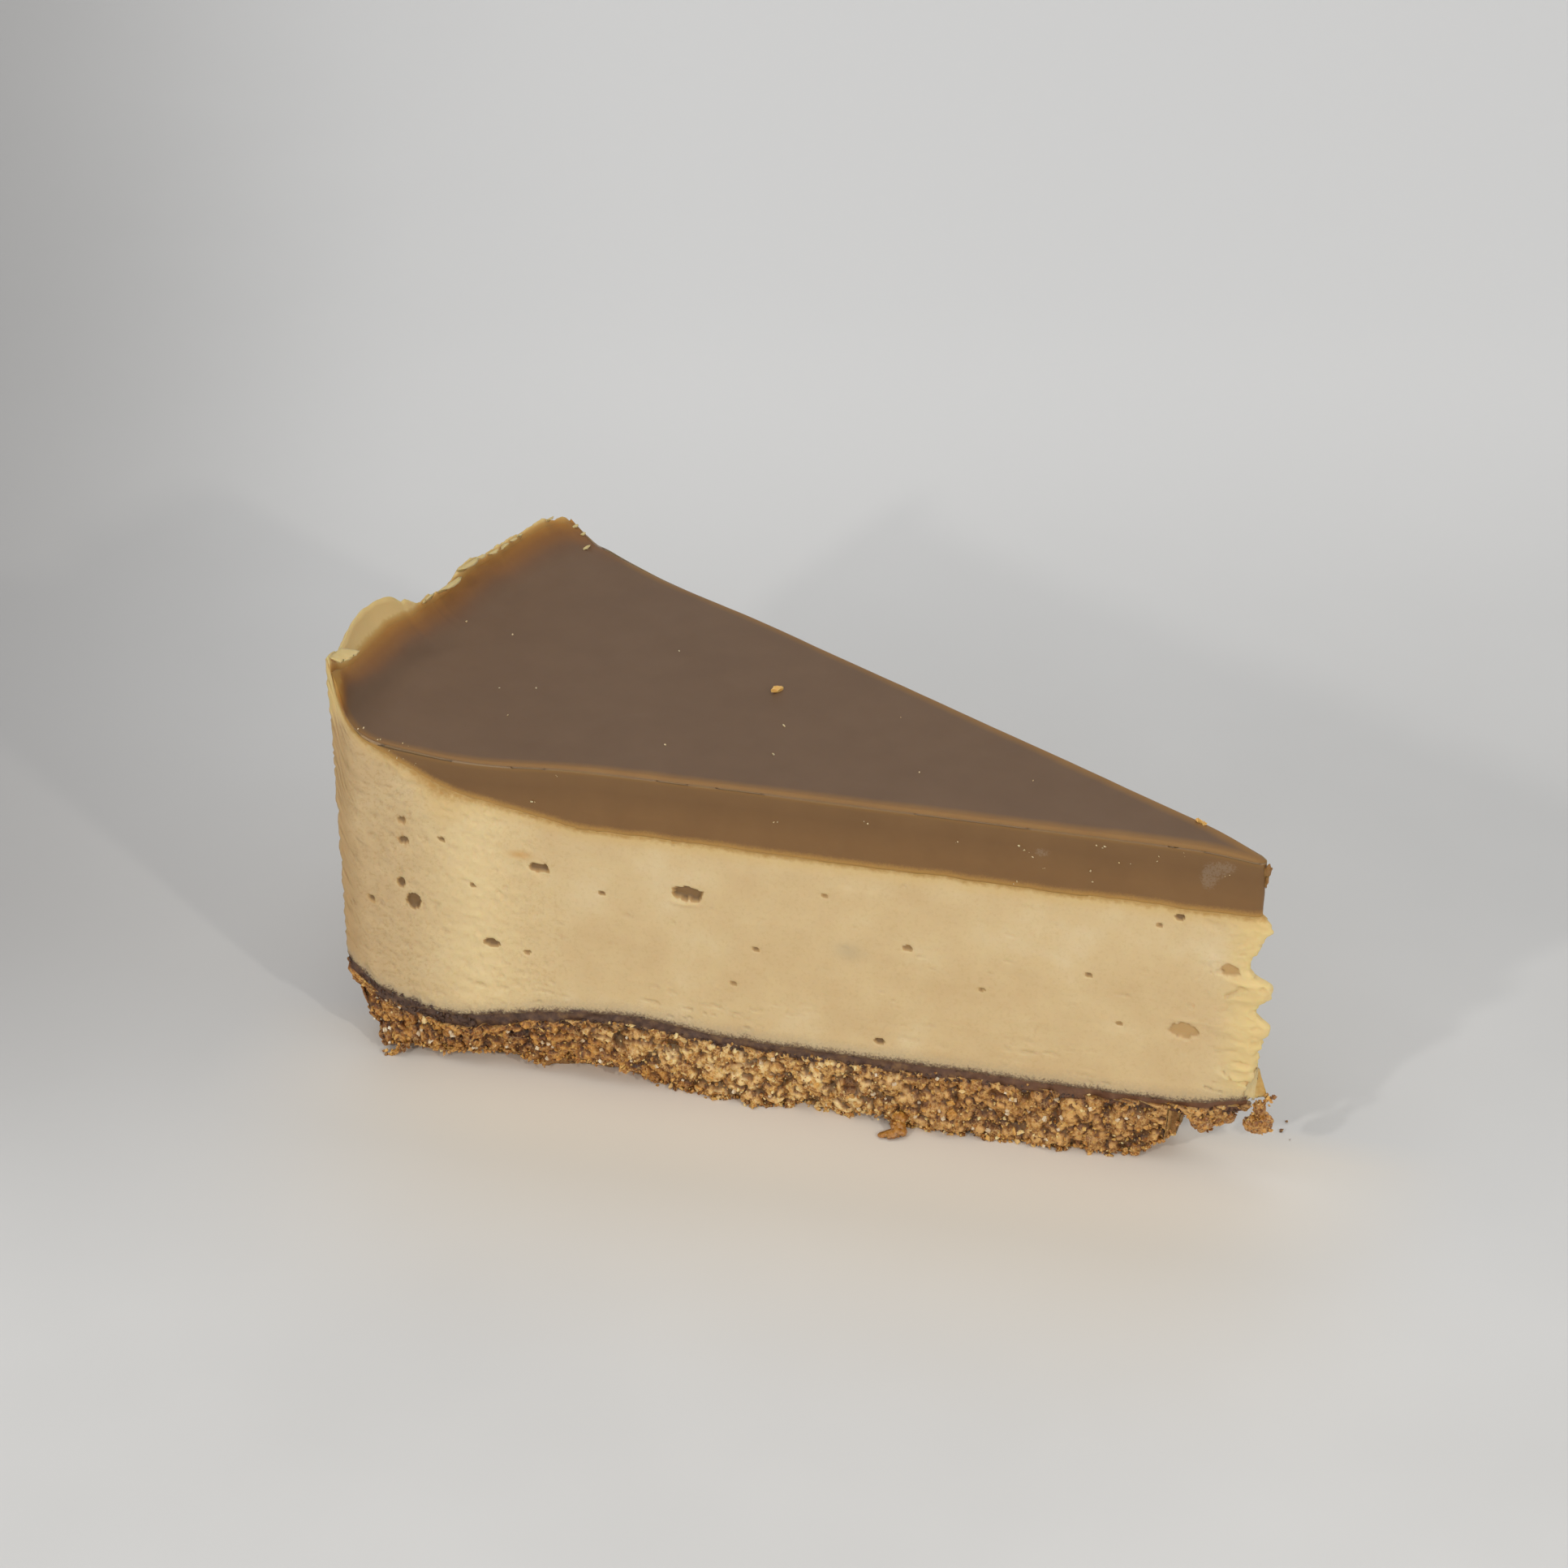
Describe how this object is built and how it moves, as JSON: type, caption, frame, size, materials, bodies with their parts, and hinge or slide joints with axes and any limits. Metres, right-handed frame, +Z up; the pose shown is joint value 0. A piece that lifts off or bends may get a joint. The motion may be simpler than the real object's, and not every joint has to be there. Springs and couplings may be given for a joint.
{
  "type": "cheesecake slice",
  "caption": "Wedge of baked cheesecake: crumbly biscuit base, thin dark soaked layer, tall pale cream filling with a raised rim, and a smooth brown biscuit-spread topping.",
  "frame": {"origin": "under the middle of the slice's bounding box, on the surface it stands on", "axes": "+X from the outer wall towards the pointed tip, +Y towards the cut that faces away from the camera in the picture, +Z up"},
  "size_m": [0.1202, 0.0584, 0.0567],
  "materials": {
    "biscuit": "crumbly golden-brown biscuit with sugar crystals",
    "soaked_biscuit": "moist dark brown",
    "cream": "soft, slightly grainy baked cream cheese",
    "spread": "smooth satin brown biscuit spread"
  },
  "bodies": {
    "root": {"biscuit_base": "biscuit", "dark_seam": "soaked_biscuit", "cream_filling": "cream", "spread_topping": "spread"}
  },
  "joints": []
}
